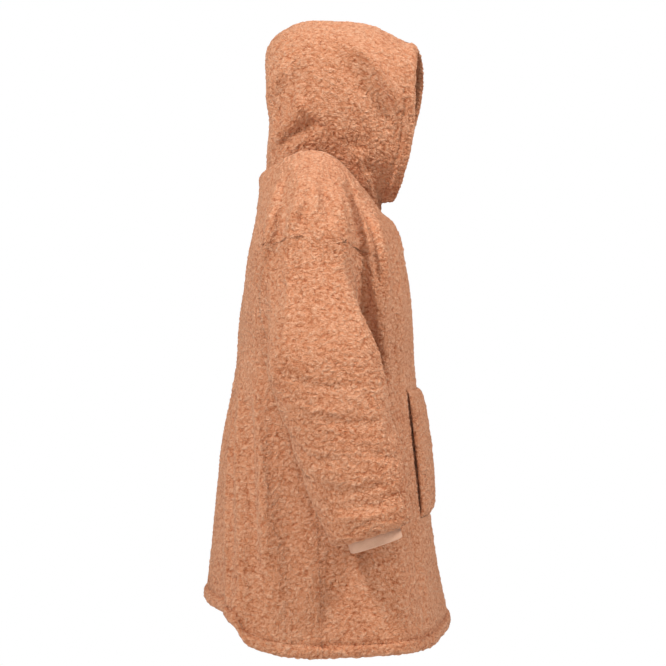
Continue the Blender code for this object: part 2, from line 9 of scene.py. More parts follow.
import bpy
import numpy as np
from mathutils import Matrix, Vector


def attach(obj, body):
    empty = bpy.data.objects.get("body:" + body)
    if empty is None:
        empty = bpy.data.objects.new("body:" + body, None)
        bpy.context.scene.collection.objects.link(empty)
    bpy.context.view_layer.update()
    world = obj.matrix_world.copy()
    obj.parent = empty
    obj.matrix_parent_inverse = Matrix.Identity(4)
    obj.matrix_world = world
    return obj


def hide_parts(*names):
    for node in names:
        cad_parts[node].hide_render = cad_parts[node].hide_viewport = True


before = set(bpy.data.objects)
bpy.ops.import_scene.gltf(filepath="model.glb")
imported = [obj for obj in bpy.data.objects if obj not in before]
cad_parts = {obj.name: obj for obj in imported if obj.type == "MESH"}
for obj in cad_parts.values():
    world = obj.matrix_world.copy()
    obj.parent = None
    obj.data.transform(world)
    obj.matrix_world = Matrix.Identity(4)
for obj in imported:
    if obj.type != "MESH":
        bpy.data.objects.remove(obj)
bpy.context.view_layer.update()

# Cloth, as in the solids
WALL = 0.008
CUFF_WALL = 0.003
SEWN_GAP = 0.0004  # between the pocket and the front
STEP = 1e-3

PANEL_PARTS = ("_low", "_middle", "_chest", "_top")  # nodes of the front and of the back

# Turned hems and seams
HEM_DEPTH = 0.027  # from the fold to the stitching
HEM_FACING = 0.033  # the pile turned in at the hem
HOOD_FACING = 0.060  # and round the face opening
HEM_RADIUS = 0.0085
ROLL_ROWS = 13
ROLL_SHARE = 0.09  # of the sleeve's length, in its rolled end
STITCH_SINK = 0.0042
STITCH_WIDTH = 0.0032
HOOD_STITCH_SHARE = 0.25  # the hood's stitching hardly shows in the pile
SEAM_SINK = 0.0003
SEAM_WIDTH = 0.0040
SEAM_BLEND = 0.016  # a seam's two pieces share their normals this far from it
SEAM_LAP = 0.0008
ARMHOLE_LAP = 0.0040  # the sleeve's pile lies this far over the armhole seam
ARMHOLE_RISE = 0.0014
ARMHOLE_CALM = 0.030  # creases fade out this near an armhole seam

# Curls of the pile
GRAIN = (1.0, 1.0, 1.3)  # curls lie a little more across than up and down
CLUMP_SIZE = 0.0120
CLUMP_HEIGHT = 0.0030
CURL_SIZE = 0.0066
CURL_HEIGHT = 0.0025
CURL_WANDER = 0.004
PILE_SINK = 0.0016  # the middle of the pile lies this far under the solid's face
PILE_SEED = 11
PILE_ROUNDNESS = 0.6  # below 1, curls are rounder and the gaps between them narrower

# Rough widths of the pieces, and the spacing of their meshes
HEM_WIDTH = 0.88
SLEEVE_GIRTH = 0.50
HOOD_HALF_GIRTH = 0.44
POCKET_GIRTH = 0.34
BODY_SPACING = 0.0030
SLEEVE_SPACING = 0.0021
HOOD_SPACING = 0.0020
POCKET_SPACING = 0.0026
BACKING_STRIDE = 4
FLAT_OPENNESS = 0.6  # of cloth without pile
ARC_SAMPLES = 240
ARMHOLE_SAMPLES = 72

CUFF_RIBS = 84
CUFF_RIB_HEIGHT = 0.00022
CUFF_ROWS = 22
CUFF_ROUND = 0.0015  # length of the rounded edge
CUFF_DRAW = 0.0012  # how far that edge draws in

# Shape of a level ring: 0 is an ellipse, more is squarer
RING_FULLNESS = 0.18
RING_DIP = 4.0  # how late a ring leaves the height of its front or back

def named(kind, rows):
    return tuple(kind(*row) for row in rows)


# Torso sections from the hem up to the neck seam. side_z, front_z and back_z are
# the heights of a ring at the sides, centre front and centre back; half_width is
# its reach in X, front_y and back_y its reach in Y, and mid_y where it is widest.
Section = namedtuple("Section", "side_z half_width front_z front_y back_z back_y mid_y")
TORSO = named(Section, (
    (-0.922, 0.335, -0.918, -0.240, -0.856, 0.238, 0.010),
    (-0.882, 0.328, -0.878, -0.234, -0.818, 0.234, 0.010),
    (-0.808, 0.311, -0.805, -0.220, -0.750, 0.227, 0.012),
    (-0.730, 0.294, -0.728, -0.209, -0.680, 0.221, 0.016),
    (-0.650, 0.279, -0.648, -0.200, -0.608, 0.214, 0.020),
    (-0.570, 0.267, -0.568, -0.191, -0.535, 0.204, 0.026),
    (-0.485, 0.259, -0.485, -0.182, -0.460, 0.190, 0.032),
    (-0.402, 0.257, -0.402, -0.174, -0.388, 0.180, 0.038),
    (-0.305, 0.292, -0.320, -0.170, -0.312, 0.173, 0.042),
    (-0.225, 0.308, -0.258, -0.165, -0.250, 0.167, 0.044),
    (-0.160, 0.310, -0.208, -0.157, -0.196, 0.161, 0.043),
    (-0.108, 0.292, -0.175, -0.151, -0.150, 0.152, 0.041),
    (-0.066, 0.258, -0.153, -0.145, -0.113, 0.145, 0.039),
    (-0.029, 0.211, -0.136, -0.139, -0.080, 0.141, 0.037),
    (0.001, 0.165, -0.122, -0.132, -0.052, 0.139, 0.034),
    (0.016, 0.132, -0.110, -0.124, -0.030, 0.139, 0.031),
    (0.018, 0.114, -0.102, -0.115, -0.018, 0.134, 0.027),
    (0.017, 0.100, -0.096, -0.106, -0.014, 0.124, 0.022),
))
UNDERARM = 7
SHOULDER_TIP = 10
NECK = 17

# The armhole is an oval on the torso, this many degrees to each side
ARMHOLE_FRONT = 24.0
ARMHOLE_BACK = 34.0

# Folds of the torso. Angles are in degrees from the centre front, positive to the
# wearer's left, at the fold's low and high end; levels are rows of TORSO; width is
# in degrees; heights are in metres, and a trough's are negative.
Fold = namedtuple("Fold", "low_angle high_angle low_level high_level width low_height high_height")
TORSO_FOLDS = named(Fold, (
    (-82, -84, 0.0, 4.0, 13, -0.030, 0.000),
    (-108, -112, 0.0, 4.0, 13, 0.012, 0.004),
    (-58, -60, 0.0, 4.5, 14, 0.010, 0.000),
    (-128, -154, 0.0, 6.6, 9, 0.016, 0.006),
    (-143, -164, 0.0, 6.6, 9, -0.014, -0.005),
    (-114, -125, 3.0, 6.4, 8, 0.008, 0.006),
    (-170, -174, 0.0, 6.0, 12, 0.006, 0.003),
    (-24, -20, 0.0, 3.0, 12, -0.010, 0.000),
    (6, 4, 0.0, 3.2, 13, 0.006, 0.000),
    (30, 26, 0.0, 3.0, 12, -0.010, 0.000),
    (60, 62, 0.0, 4.6, 14, 0.011, 0.000),
    (84, 85, 0.0, 4.2, 13, -0.026, 0.000),
    (106, 112, 0.0, 4.2, 13, 0.012, 0.004),
    (131, 152, 0.0, 6.2, 9, 0.013, 0.005),
    (146, 162, 0.0, 6.0, 9, -0.013, -0.004),
    (-61, -65, 7.4, 12.4, 6, -0.020, -0.012),
    (-71, -73, 8.0, 11.6, 6, 0.007, 0.006),
    (-53, -57, 9.2, 12.4, 5, -0.007, -0.008),
    (-79, -80, 11.0, 12.6, 5, -0.005, -0.004),
    (-124, -122, 9.4, 12.2, 8, 0.006, 0.006),
    (-112, -110, 10.4, 12.6, 6, -0.006, -0.005),
    (-102, -95, 10.2, 11.8, 6, 0.004, 0.004),
    (62, 66, 7.6, 12.2, 6, -0.018, -0.011),
    (72, 74, 8.2, 11.4, 6, 0.006, 0.006),
    (54, 56, 9.4, 12.2, 5, -0.006, -0.007),
    (122, 120, 9.6, 12.2, 8, 0.006, 0.005),
    (111, 108, 10.4, 12.4, 6, -0.006, -0.005),
))
FOLD_FADE_ABOVE = 0.7  # levels over which a fold dies away past its ends
FOLD_FADE_BELOW = 0.55

# Sections of the left sleeve from below the armhole to above the cuff. x, y and z
# place the middle of a section; depth is its half-width front to back, thick its
# half-width sideways, and lean how far its front edge is tipped up, in degrees.
SleeveSection = namedtuple("SleeveSection", "x y z depth thick lean")
SLEEVE = named(SleeveSection, (
    (0.331, 0.007, -0.400, 0.102, 0.054, 10),
    (0.335, -0.010, -0.457, 0.100, 0.055, 14),
    (0.339, -0.027, -0.515, 0.097, 0.055, 16),
    (0.344, -0.043, -0.572, 0.093, 0.055, 17),
    (0.349, -0.060, -0.627, 0.087, 0.054, 18),
    (0.354, -0.076, -0.677, 0.080, 0.052, 18),
))
SLEEVE_BLEND = 0.45  # share of the sleeve that leads from the armhole to the first section
SLEEVE_LEAVE = 0.9  # how strongly it leaves along the shoulder's slope
UNDERARM_LEAVE = 2.2
SLEEVE_ARRIVE = 0.9
ROLL_DROP = 0.019  # the sleeve's end rolls under, this far below its last section
ROLL_TURN = 135.0

# Folds of the sleeve. turn is degrees round it, 0 outside and 90 in front; share
# runs from the armhole (0) to the lower end (1).
SleeveFold = namedtuple("SleeveFold", "turn_a share_a turn_b share_b width height")
SLEEVE_FOLDS = named(SleeveFold, (
    (-60, 0.86, 20, 0.93, 0.035, -0.005),
    (-100, 0.74, -30, 0.83, 0.035, -0.005),
    (60, 0.70, 120, 0.62, 0.035, -0.005),
    (-120, 0.56, -70, 0.66, 0.040, -0.006),
    (120, 0.40, 160, 0.30, 0.040, -0.006),
    (-150, 0.42, -110, 0.36, 0.040, -0.006),
))

CUFF_DEPTH = 0.0485
CUFF_THICK = 0.029
CUFF_LENGTH = 0.024

# Hood sections, a fan about a sideways axis under the chin, from the neck seam to
# the face opening. fan is degrees above the horizontal, reach the distance to the
# centre seam, half_width the reach in X, and bow how far the sides swell forward.
HoodSection = namedtuple("HoodSection", "fan reach half_width bow")
HOOD = named(HoodSection, (
    (20.1, 0.2652, 0.100, 0.000),
    (30.0, 0.2860, 0.109, 0.000),
    (39.0, 0.3140, 0.116, 0.002),
    (47.0, 0.3660, 0.121, 0.004),
    (54.5, 0.4230, 0.124, 0.006),
    (64.0, 0.4320, 0.124, 0.008),
    (74.0, 0.4080, 0.122, 0.010),
    (84.0, 0.3850, 0.118, 0.012),
    (92.0, 0.3580, 0.112, 0.014),
    (100.0, 0.3370, 0.106, 0.018),
))
HOOD_AXIS_Y = -0.125
HOOD_AXIS_Z = -0.105
CHIN_REACH = 0.035
NECK_BLEND_ROWS = 6.0
TURN_BLEND_ROWS = 3.0
HOOD_TURN = -8.0  # degrees about the vertical, towards the wearer's right
HOOD_TURN_Y = 0.010
HOOD_TURN_FROM = 0.015
HOOD_TURN_HEIGHT = 0.170

# Folds of the hood. share runs along a section from the chin (0) to the centre
# seam (1), row counts HOOD's sections, and side is -1 for the wearer's right.
HoodFold = namedtuple("HoodFold", "side share_a row_a share_b row_b width height")
HOOD_FOLDS = named(HoodFold, (
    (-1, 0.86, 2.4, 0.68, 3.8, 0.050, 0.006),
    (-1, 0.76, 2.1, 0.64, 4.1, 0.045, -0.010),
    (-1, 0.79, 1.2, 0.61, 3.0, 0.050, 0.008),
    (-1, 0.70, 0.7, 0.52, 2.2, 0.045, -0.007),
    (-1, 0.70, 6.3, 0.54, 7.5, 0.050, 0.007),
    (-1, 0.58, 6.2, 0.42, 7.3, 0.060, -0.005),
    (1, 0.74, 2.0, 0.62, 4.0, 0.050, -0.009),
    (1, 0.76, 1.1, 0.60, 2.8, 0.055, 0.008),
    (1, 0.68, 6.5, 0.52, 7.6, 0.055, 0.007),
))

# Front pouch pocket, on the front's own columns and rows
POCKET_TOP_LEVEL = 6.50
POCKET_BOTTOM_LEVEL = 3.53
POCKET_HALF_ANGLE = 35.0
POCKET_WALL = 0.008
POCKET_PUFF = 0.010
POCKET_MOUTH_PUFF = 0.005
POCKET_HEIGHT = 0.26
POCKET_HALF_WIDTH = 0.17
POCKET_ROUND = 0.022


def ease(share):
    share = np.clip(share, 0, 1)
    return share * share * (3 - 2 * share)


def unit(vectors):
    return vectors / np.linalg.norm(vectors, axis=-1, keepdims=True)


def points(x, y, z):
    return np.stack(np.broadcast_arrays(x, y, z), axis=-1)


def table_at(table, row):
    """The table's columns at a fractional row number, on smooth curves through its rows."""
    rows = np.array(table, float)
    row = np.clip(np.asarray(row, float), 0, len(rows) - 1)
    low = np.minimum(row.astype(int), len(rows) - 2)
    share = (row - low)[..., None]
    slope = np.gradient(rows, axis=0)
    across = rows[low + 1] - rows[low]
    bend = share * (1 - share)
    pull = bend * ((1 - share) * (slope[low] - across) - share * (slope[low + 1] - across))
    return np.moveaxis(rows[low] + across * share + pull, -1, 0)


def ring(angle):
    """(sideways, forward) reach of a slightly squared ring."""
    sideways = np.sin(angle)
    forward = np.cos(angle)
    return (
        sideways * (1 + RING_FULLNESS * forward**2),
        forward * (1 + RING_FULLNESS * sideways**2),
    )


def surface_out(surface, one, other):
    """Normals of surface(one, other)."""
    along = surface(one + STEP, other) - surface(one - STEP, other)
    up = surface(one, other + STEP) - surface(one, other - STEP)
    return unit(np.cross(along, up))


def plain_torso(angle, level):
    side_z, half_width, front_z, front_y, back_z, back_y, mid_y = table_at(TORSO, level)
    sideways, forward = ring(angle)
    in_front = forward > 0
    y = mid_y + np.where(in_front, front_y - mid_y, mid_y - back_y) * forward
    rise = np.abs(np.sin(angle)) ** RING_DIP
    z = side_z * rise + np.where(in_front, front_z, back_z) * (1 - rise)
    return points(half_width * sideways, y, z)


def torso_fold(angle, level):
    """How far the folds push the torso's cloth out, in metres."""
    push = 0.0
    for fold in TORSO_FOLDS:
        share = np.clip((level - fold.low_level) / (fold.high_level - fold.low_level), 0, 1)
        middle = np.radians(fold.low_angle + (fold.high_angle - fold.low_angle) * share)
        offset = np.arctan2(np.sin(angle - middle), np.cos(angle - middle))
        height = fold.low_height + (fold.high_height - fold.low_height) * share
        above = np.maximum(level - fold.high_level, 0) / FOLD_FADE_ABOVE
        below = np.maximum(fold.low_level - level, 0) / FOLD_FADE_BELOW
        push = push + height * np.exp(
            -(above**2) - below**2 - (offset / math.radians(fold.width)) ** 2
        )
    return push


def torso(angle, level):
    """The torso's outer face, hem to neck, with its folds."""
    angle, level = np.broadcast_arrays(np.asarray(angle, float), np.asarray(level, float))
    out = surface_out(plain_torso, angle, np.clip(level, STEP, NECK - STEP))
    return plain_torso(angle, level) + out * torso_fold(angle, level)[..., None]


def segment_push(folds, across, along, across_scale):
    """Push of straight folds that run between two places in (across, along)."""
    push = 0.0
    for start_across, start_along, end_across, end_along, width, height in folds:
        run = np.array([(end_across - start_across) * across_scale, end_along - start_along])
        offset_across = (across - start_across) * across_scale
        offset_along = along - start_along
        share = np.clip((offset_across * run[0] + offset_along * run[1]) / (run @ run), 0, 1)
        gap = np.hypot(offset_across - share * run[0], offset_along - share * run[1])
        push = push + height * np.exp(-((gap / width) ** 2))
    return push


def armhole_place(side, turn, inward=1):
    """(angle, level) round an armhole; turn 0 is the shoulder tip, 90 degrees the front."""
    middle = (UNDERARM + SHOULDER_TIP) / 2
    level = middle + (SHOULDER_TIP - UNDERARM) / 2 * np.cos(turn) * inward
    swing = np.sin(turn) * inward
    spread = np.radians(np.where(swing > 0, ARMHOLE_FRONT, ARMHOLE_BACK)) * swing
    return side * (math.pi / 2 - spread), level


def armhole_edge(side, turn):
    return torso(*armhole_place(side, turn))


def armhole_leave(side, turn):
    """Direction in which the torso's face runs on into the armhole."""
    return unit(torso(*armhole_place(side, turn, 1 - STEP * 20)) - armhole_edge(side, turn))


def sleeve_section(side, turn, row, shrink_depth=0.0, shrink_thick=0.0, drop=0.0):
    """A point round one of the sleeve's sections, drawn in and let down by the given lengths."""
    x, y, z, depth, thick, lean = table_at(SLEEVE, row)
    lean = np.radians(lean)
    outward = ring(turn + math.pi / 2)[0] * (thick - shrink_thick)
    forward = ring(turn)[0] * (depth - shrink_depth)
    return points(
        side * (x + outward),
        y - forward * np.cos(lean) - drop * np.sin(lean),
        z + forward * np.sin(lean) - drop * np.cos(lean),
    )


def sleeve(side, turn, share):
    """The sleeve's outer face: share 0 is the armhole and 1 the last section."""
    turn, share = np.broadcast_arrays(np.asarray(turn, float), np.asarray(share, float))
    last = len(SLEEVE) - 1
    row = np.maximum(share - SLEEVE_BLEND, 0) / (1 - SLEEVE_BLEND) * last
    start = armhole_edge(side, turn)
    first = sleeve_section(side, turn, 0 * row)
    onward = unit(sleeve_section(side, turn, 0 * row + STEP) - first)
    along = np.clip(share / SLEEVE_BLEND, 0, 1)[..., None]
    span = np.linalg.norm(first - start, axis=-1, keepdims=True)
    underneath = 0.5 - 0.5 * np.cos(turn)[..., None]
    leave_by = SLEEVE_LEAVE + (UNDERARM_LEAVE - SLEEVE_LEAVE) * underneath**3
    blend = (
        start * (1 + 2 * along) * (1 - along) ** 2
        + armhole_leave(side, turn) * span * leave_by * along * (1 - along) ** 2
        + first * along**2 * (3 - 2 * along)
        - onward * span * SLEEVE_ARRIVE * along**2 * (1 - along)
    )
    free = sleeve_section(side, turn, row)
    face = np.where((share < SLEEVE_BLEND)[..., None], blend, free)
    around = np.degrees(np.arctan2(np.sin(turn), np.cos(turn)))
    push = segment_push(SLEEVE_FOLDS, around, share, 1 / 360)
    centre = points(side * table_at(SLEEVE, row)[0], *table_at(SLEEVE, row)[1:3])
    out = unit(face - centre)
    return face + out * push[..., None]


def sleeve_end(side, turn, closing, drop):
    """The sleeve's end, drawn in by a share of the way to the cuff and let down."""
    end = SLEEVE[-1]
    depth = (end.depth - CUFF_DEPTH) * closing
    thick = (end.thick - CUFF_THICK) * closing
    return sleeve_section(side, turn, len(SLEEVE) - 1 + 0 * drop, depth, thick, drop)


def sleeve_roll(side, turn, roll):
    """The sleeve's rolled end, roll radians past its last section."""
    closing = (1 - np.cos(roll)) / (1 - math.cos(math.radians(ROLL_TURN)))
    return sleeve_end(side, turn, closing, ROLL_DROP * np.sin(roll))


def cuff(side, turn, down):
    """The cuff's outer face, down metres below its seam."""
    return sleeve_end(side, turn, 1, ROLL_DROP * math.sin(math.radians(ROLL_TURN)) + down)


def hood_section(share, row):
    fan, reach, half_width, bow = table_at(HOOD, row)
    fan = np.radians(fan)
    turn = math.pi * share
    swell = bow * np.sin(turn)
    out = CHIN_REACH + (reach - CHIN_REACH) * (1 - np.cos(turn)) / 2
    return points(
        half_width * ring(turn)[0],
        HOOD_AXIS_Y + out * np.cos(fan) - swell * np.sin(fan),
        HOOD_AXIS_Z + out * np.sin(fan) + swell * np.cos(fan),
    )


def plain_hood(side, share, row):
    """Half of the hood: share 0 is the chin, 1 the centre seam; row 0 is the neck seam."""
    share, row = np.broadcast_arrays(np.asarray(share, float), np.asarray(row, float))
    mirrored = np.array([side, 1, 1])
    neck = torso(side * math.pi * share, NECK)
    hold = (1 - ease(row / NECK_BLEND_ROWS))[..., None]
    offset = neck - hood_section(share, 0 * row) * mirrored
    face = hood_section(share, row) * mirrored + offset * hold
    turn = math.radians(HOOD_TURN) * ease(row / TURN_BLEND_ROWS)
    turn = turn * ease((face[..., 2] - HOOD_TURN_FROM) / HOOD_TURN_HEIGHT)
    x, y = face[..., 0], face[..., 1] - HOOD_TURN_Y
    return points(
        x * np.cos(turn) - y * np.sin(turn),
        HOOD_TURN_Y + x * np.sin(turn) + y * np.cos(turn),
        face[..., 2],
    )


def hood(side, share, row):
    """Half of the hood's outer face, with its folds."""
    share, row = np.broadcast_arrays(np.asarray(share, float), np.asarray(row, float))
    last = len(HOOD) - 1
    half = lambda share, row: plain_hood(side, share, row)
    out = surface_out(half, np.clip(share, 0.02, 0.98), np.clip(row, STEP, last - STEP)) * side
    folds = [
        (fold.share_a, fold.row_a / last, fold.share_b, fold.row_b / last, fold.width, fold.height)
        for fold in HOOD_FOLDS
        if fold.side == side
    ]
    push = segment_push(folds, share, row / last, 1.0)
    return half(share, row) + out * push[..., None]


# Creases finer than the solids' folds. Each runs through three places on its surface,
# in that surface's own measures: degrees and levels on the torso, degrees and shares
# on a sleeve, shares and rows on the hood. width and height are in millimetres, and a
# trough's height is negative. They lie on the wearer's right; the left has the same
# ones, a little weaker and shifted.
Crease = namedtuple("Crease", "a1 b1 a2 b2 a3 b3 width height")
TORSO_CREASES = named(Crease, (
    (-67, 13.6, -60, 11.4, -58.5, 8.4, 9, -15),
    (-60, 9.4, -59, 8.0, -52, 6.4, 13, -14),
    (-56, 12.3, -52.5, 10.6, -51.5, 8.8, 6, -8),
    (-59, 12.2, -56, 10.8, -55.5, 9.2, 8, 5),
    (-50, 12.2, -47, 10.4, -47, 8.2, 14, 6),
    (-72, 12.9, -67, 11.4, -65, 10.1, 10, 6),
    (-81, 12.2, -79.5, 11.4, -77, 10.4, 6, -5),
    (-86, 12.4, -85, 11.4, -84, 10.5, 9, 4),
    (-74, 11.6, -71, 10.9, -69, 10.4, 7, 4),
    (-75, 10.9, -73, 10.4, -70, 9.9, 5, -5),
    (-93, 11.6, -97, 10.9, -101, 10.1, 10, 5),
    (-89, 11.2, -93, 10.5, -97, 9.9, 8, -4),
    (-117, 11.6, -119, 10.3, -119, 9.0, 13, 6),
    (-109, 11.6, -111, 10.4, -110, 9.4, 11, -6),
    (-127, 11.2, -128, 9.6, -127, 8.0, 12, -5),
    (-146, 6.6, -131, 3.7, -124, 0.4, 15, 9),
    (-153, 6.4, -138, 3.6, -131, 0.3, 13, -9),
    (-124, 6.4, -116, 4.4, -113, 2.0, 13, 7),
    (-134, 6.2, -124, 4.4, -118, 1.2, 13, -9),
    (-106, 4.6, -103, 2.8, -104, 0.8, 18, -6),
    (-92, 3.9, -92, 2.2, -94, 0.2, 20, 5),
    (-72, 3.6, -78, 2.0, -80, 0.1, 18, -6),
    (-58, 4.6, -56, 2.6, -60, 0.2, 20, 5),
    (-44, 4.6, -42, 2.4, -44, 0.1, 16, -6),
    (-40, 9.4, -43, 7.4, -41, 5.4, 16, -4),
    (-30, 11.6, -34, 9.2, -33, 7.0, 18, 4),
    (-24, 13.0, -22, 10.6, -25, 8.2, 16, -5),
    (-12, 15.6, -15, 13.0, -14, 10.6, 14, 4),
    (-160, 13.6, -156, 11.4, -158, 9.0, 18, -5),
    (-170, 9.0, -168, 6.6, -172, 3.8, 22, 5),
))
SLEEVE_CREASES = named(Crease, (
    (76, 0.02, 80, 0.30, 74, 0.62, 14, 6),
    (70, 0.66, 78, 0.80, 74, 0.93, 14, 4),
    (52, 0.06, 58, 0.18, 60, 0.32, 10, -4),
    (-60, 0.10, -72, 0.24, -80, 0.40, 12, -4),
    (-40, 0.42, -10, 0.50, 30, 0.52, 9, -3),
    (-50, 0.50, -20, 0.57, 20, 0.60, 8, 2.5),
    (-20, 0.58, 15, 0.65, 55, 0.66, 8, -3),
    (-60, 0.66, -35, 0.72, 0, 0.75, 10, -4),
    (10, 0.72, 40, 0.78, 75, 0.78, 9, -3.5),
    (-45, 0.80, -5, 0.86, 40, 0.86, 9, -4),
    (20, 0.89, 45, 0.92, 70, 0.90, 9, -3),
    (-35, 0.92, 5, 0.96, 45, 0.95, 10, 4),
    (130, 0.20, 140, 0.40, 150, 0.60, 14, -6),
    (-140, 0.30, -150, 0.50, -160, 0.70, 14, -6),
))
HOOD_CREASES = named(Crease, (
    (0.80, 2.6, 0.72, 3.4, 0.66, 4.3, 13, 5),
    (0.72, 1.9, 0.65, 2.9, 0.62, 4.3, 14, -8),
    (0.76, 1.0, 0.63, 2.0, 0.57, 3.6, 14, 6),
    (0.68, 0.5, 0.57, 1.2, 0.50, 2.2, 14, -6),
    (0.73, 0.3, 0.60, 0.8, 0.50, 1.1, 13, 5),
    (0.72, 6.3, 0.60, 7.3, 0.50, 8.0, 10, 6),
    (0.66, 6.2, 0.57, 6.9, 0.44, 7.5, 12, -6),
    (0.42, 2.0, 0.36, 3.8, 0.34, 5.6, 16, -4),
    (0.30, 3.4, 0.24, 5.4, 0.22, 7.4, 14, -4),
    (0.92, 4.6, 0.86, 5.6, 0.80, 6.6, 16, -3),
))
CREASE_STEPS = 14
LEFT_SHIFT = 2.0  # degrees
LEFT_RISE = 0.15  # levels
LEFT_STRENGTH = 0.8

# The hem hangs lower on the near side of the fold over the back seam
HEM_STEPS = ((-123.5, 0.012), (123.5, 0.008))
HEM_STEP_WIDTH = 2.2
HEM_STEP_LEVELS = 1.4

# The pile's finest tufts, in its material
CURL_SCALE = 140.0
SMALL_CURL_SCALE = 266.0
CURL_RELIEF = 0.0030
BEND_SCALE = 190.0
BEND_REACH = 0.012
# The pile's colour ramp: its dark, saturated low end is painted shade in the crevices and in the gaps
# between tufts; its pale high end is the tips' colour.
PILE_COLOURS = (
    (0.18, (0.30, 0.075, 0.026)),
    (0.42, (0.56, 0.245, 0.130)),
    (0.66, (0.69, 0.385, 0.250)),
    (1.00, (0.80, 0.530, 0.395)),
)
PILE_VALUES = {
    "Roughness": 0.95,
    "Specular IOR Level": 0.1,
    "Sheen Weight": 0.25,
    "Sheen Roughness": 0.45,
    "Sheen Tint": (1.0, 0.78, 0.64, 1),
}

# The smooth back of the fleece, and the cuffs' knit, a shade paler than the pile:
# name, loops' scale, strength and depth, patches' scale and detail, colours, values
BACKING = (
    "fleece_backing", 900.0, 0.35, 0.0006, 14.0, 3.0,
    ((0.3, (0.56, 0.29, 0.18)), (0.7, (0.66, 0.37, 0.245))),
    {"Roughness": 0.9, "Specular IOR Level": 0.15, "Sheen Weight": 0.2},
)
CUFF_KNIT = (
    "cuff_knit", 800.0, 0.3, 0.0004, 40.0, 2.0,
    ((0.3, (0.60, 0.37, 0.265)), (0.7, (0.68, 0.44, 0.325))),
    {"Roughness": 0.85, "Specular IOR Level": 0.2, "Sheen Weight": 0.15},
)


def gradient_table():
    random = np.random.default_rng(PILE_SEED)
    table = random.normal(size=(256, 3))
    return table / np.linalg.norm(table, axis=1, keepdims=True)


GRADIENTS = gradient_table()


def noise(place, size, seed):
    """Smooth noise from about -1 to 1, whose lumps are about size metres across."""
    scaled = place / size
    cell = np.floor(scaled).astype(np.int64)
    inside = scaled - cell
    fade = inside**3 * (inside * (inside * 6 - 15) + 10)
    total = 0.0
    for corner in np.ndindex(2, 2, 2):
        at = cell + np.array(corner)
        mixed = at[..., 0] * 73856093 ^ at[..., 1] * 19349663 ^ at[..., 2] * 83492791 ^ seed * 2654435
        mixed = (mixed ^ (mixed >> 13)) * 1274126177 & 0x7FFFFFFF
        gradient = GRADIENTS[(mixed >> 8) & 255]
        reach = np.sum(gradient * (inside - np.array(corner)), axis=-1)
        weight = np.prod(np.where(np.array(corner) == 1, fade, 1 - fade), axis=-1)
        total = total + reach * weight
    return total * 1.6


def pile(place):
    """Height of the pile, and how open it lies: 0 in a crevice, 1 on a curl."""
    place = place * np.array(GRAIN)
    wander = np.stack([noise(place, CLUMP_SIZE, seed) for seed in (1, 2, 3)], axis=-1)
    moved = place + wander * CURL_WANDER
    clump = np.abs(noise(moved, CLUMP_SIZE, 4)) ** PILE_ROUNDNESS
    curl = np.abs(noise(moved, CURL_SIZE, 5)) ** PILE_ROUNDNESS
    height = CLUMP_HEIGHT * clump + CURL_HEIGHT * curl
    middle = 0.5 * (CLUMP_HEIGHT + CURL_HEIGHT)
    # The openness is painted as shade by the pile's material: darker where the pile is low.
    return height - middle - PILE_SINK, np.clip(0.5 * clump + 0.8 * curl, 0, 1)


def grid_normals(grid, closed):
    along = np.gradient(grid, axis=0)
    if closed:
        across = np.roll(grid, -1, axis=1) - np.roll(grid, 1, axis=1)
    else:
        across = np.gradient(grid, axis=1)
    return unit(np.cross(across, along))


def even_rows(surface, across, spacing):
    """Rows of a surface, evenly spaced along each of its columns.

    surface(across, along) runs along from 0 to 1. Returns along for every point, and
    its distance from the first row.
    """
    along = np.linspace(0, 1, ARC_SAMPLES + 1)
    line = surface(across[None, :], along[:, None])
    lengths = np.linalg.norm(np.diff(line, axis=0), axis=-1)
    reach = np.concatenate([np.zeros((1, len(across))), np.cumsum(lengths, axis=0)])
    share = np.linspace(0, 1, int(math.ceil(np.median(reach[-1]) / spacing)) + 1)
    out = [np.interp(share * total[-1], total, along) for total in reach.T]
    return np.array(out).T, share[:, None] * reach[-1][None, :]


def edge_distance(grid, axis, from_end):
    """Distance of each point from the grid's first or last row or column."""
    lengths = np.linalg.norm(np.diff(grid, axis=axis), axis=-1)
    nothing = np.zeros_like(np.take(lengths, [0], axis=axis))
    lengths = np.flip(lengths, axis) if from_end else lengths
    whole = np.concatenate([nothing, np.cumsum(lengths, axis=axis)], axis=axis)
    return np.flip(whole, axis) if from_end else whole


def dip(distance, width):
    return np.exp(-((distance / width) ** 2))


def wrapped(grid, closed):
    return np.concatenate([grid, grid[:, :1]], axis=1) if closed else grid


def grid_quads(corners):
    return np.stack(
        [corners[:-1, :-1], corners[:-1, 1:], corners[1:, 1:], corners[1:, :-1]], axis=-1
    ).reshape(-1, 4)


def bridge(fine, fine_places, coarse, coarse_places):
    """Triangles between two runs of corners along the same line, by their places on it."""
    triangles = []
    at_fine, at_coarse = 0, 0
    while at_fine < len(fine) - 1 or at_coarse < len(coarse) - 1:
        take_fine = at_coarse == len(coarse) - 1
        if not take_fine and at_fine < len(fine) - 1:
            take_fine = fine_places[at_fine + 1] <= coarse_places[at_coarse + 1]
        if take_fine:
            triangles.append((fine[at_fine + 1], fine[at_fine], coarse[at_coarse]))
            at_fine += 1
        else:
            triangles.append((fine[at_fine], coarse[at_coarse], coarse[at_coarse + 1]))
            at_coarse += 1
    return triangles


def new_mesh(name, vertices, quads, triangles):
    mesh = bpy.data.meshes.new(name)
    loops = np.concatenate([quads.reshape(-1), triangles.reshape(-1)]).astype(np.int32)
    totals = np.concatenate([np.full(len(quads), 4), np.full(len(triangles), 3)]).astype(np.int32)
    starts = np.concatenate([[0], np.cumsum(totals)[:-1]]).astype(np.int32)
    mesh.vertices.add(len(vertices))
    mesh.vertices.foreach_set("co", vertices.astype(np.float32).reshape(-1))
    mesh.loops.add(len(loops))
    mesh.loops.foreach_set("vertex_index", loops)
    mesh.polygons.add(len(totals))
    mesh.polygons.foreach_set("loop_start", starts)
    mesh.polygons.foreach_set("loop_total", totals)
    mesh.update(calc_edges=True)
    return mesh


